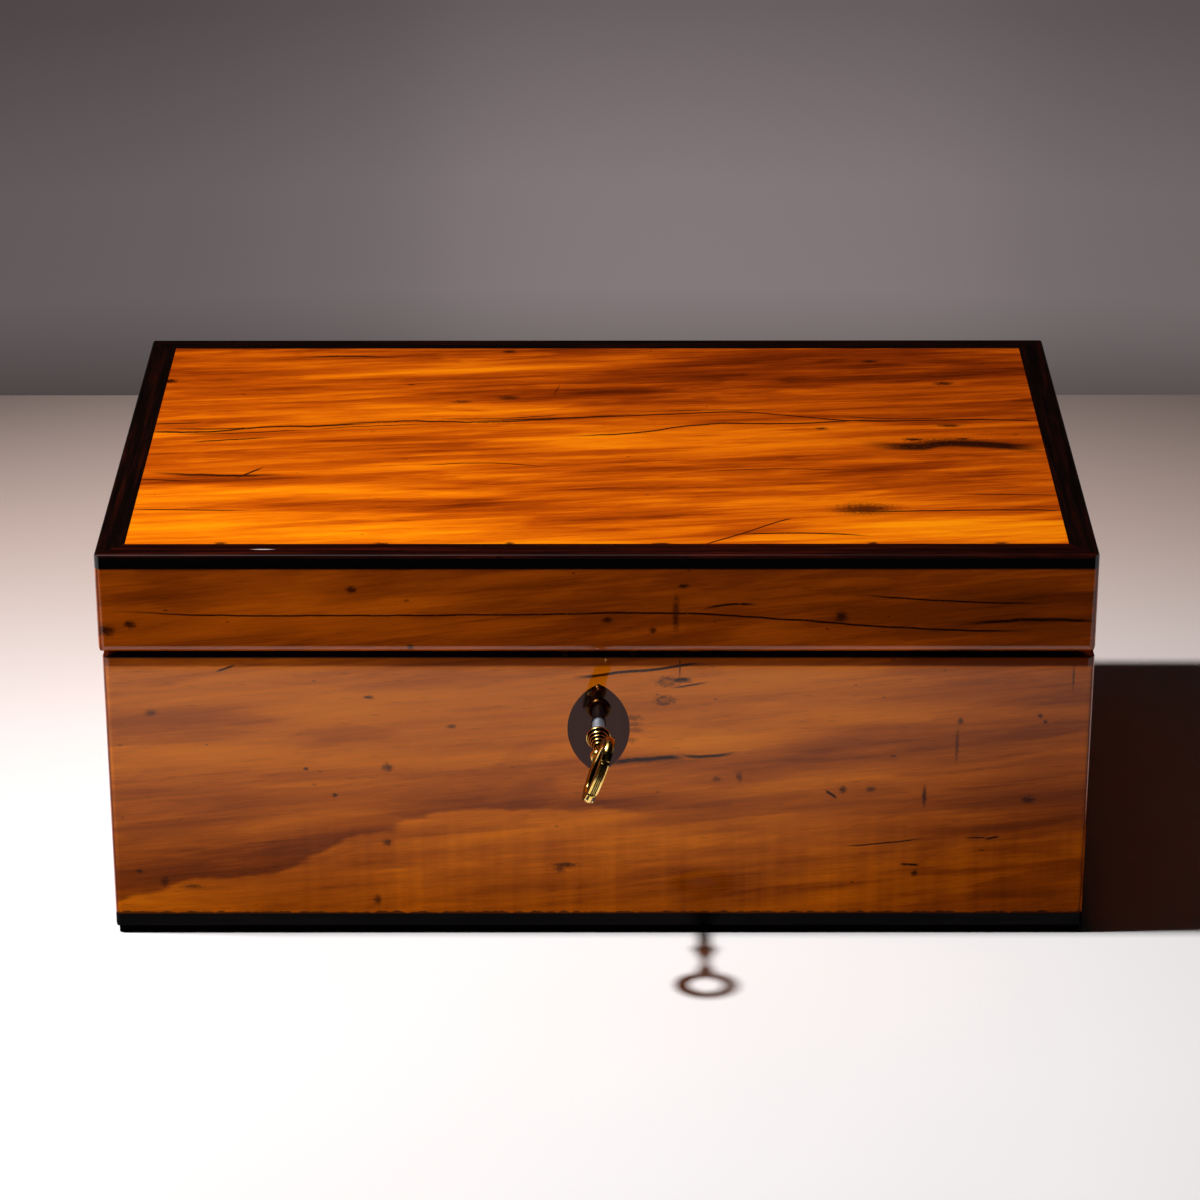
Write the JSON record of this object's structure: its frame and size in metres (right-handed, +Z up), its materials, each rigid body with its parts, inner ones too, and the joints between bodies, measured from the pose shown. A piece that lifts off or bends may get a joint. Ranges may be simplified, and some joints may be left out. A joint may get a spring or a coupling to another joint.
{
  "type": "desk letter box",
  "caption": "Mitred wooden box for papers and keepsakes with a hinged, dark-edged lid and a keyed box lock.",
  "frame": {"origin": "centre of the box's underside, midway between the body's ends and faces", "axes": "+X to the right of someone who faces the lock, along the box's length; -Y out of the front face with the keyhole; +Z up"},
  "size_m": [0.35, 0.2615, 0.1485],
  "materials": {
    "satinwood": "polished golden brown wood with a fine horizontal figure",
    "ebony": "polished black wood",
    "rosewood": "polished dark red-brown wood",
    "lining_wood": "plain waxed cedar",
    "lock_brass": "old brass, softly worn",
    "key_brass": "bright polished brass",
    "steel": "bright steel"
  },
  "bodies": {
    "box": {"foot_board": "ebony", "band_front": "ebony", "band_right": "ebony", "band_back": "ebony", "band_left": "ebony", "floor_board": "lining_wood", "front_board": "satinwood", "right_board": "satinwood", "back_board": "satinwood", "left_board": "satinwood", "lining_front": "lining_wood", "lining_right": "lining_wood", "lining_back": "lining_wood", "lining_left": "lining_wood", "base_screws": "steel", "escutcheon": "ebony", "lock_plate": "lock_brass", "lock_cap": "lock_brass", "drill_pin": "steel", "bolt_stump": "steel", "lock_screws": "lock_brass", "hinge_left_lower_leaf": "lock_brass", "hinge_right_lower_leaf": "lock_brass", "hinge_left_pin": "steel", "hinge_right_pin": "steel", "hinge_lower_screws": "lock_brass"},
    "lid": {"lid_front_rail": "satinwood", "lid_right_rail": "satinwood", "lid_back_rail": "satinwood", "lid_left_rail": "satinwood", "lid_panel": "satinwood", "border_front": "rosewood", "border_right": "rosewood", "border_back": "rosewood", "border_left": "rosewood", "lid_lining_front": "lining_wood", "lid_lining_right": "lining_wood", "lid_lining_back": "lining_wood", "lid_lining_left": "lining_wood", "link_plate": "lock_brass", "link_screws": "lock_brass", "hinge_left_upper_leaf": "lock_brass", "hinge_right_upper_leaf": "lock_brass", "hinge_upper_screws": "lock_brass"},
    "bolt": {"lock_bolt": "lock_brass"},
    "key": {"key_shank": "steel", "key_handle": "key_brass"}
  },
  "joints": [
    {"name": "lid_hinge", "type": "hinge", "parent": "box", "child": "lid", "pos_m": [0, 0.1055, 0.1102], "axis": [-1, 0, 0], "range_deg": [0, 95]},
    {"name": "key_turn", "type": "hinge", "parent": "box", "child": "key", "pos_m": [0, -0.1075, 0.0838], "axis": [0, -1, 0], "range_deg": [0, 40]},
    {"name": "bolt_slide", "type": "slide", "parent": "box", "child": "bolt", "axis": [-1, 0, 0], "range_m": [0, 0.00513]}
  ],
  "couplings": [
    {"joint": "bolt_slide", "follows": "key_turn", "m_per_rad": 0.007348}
  ]
}
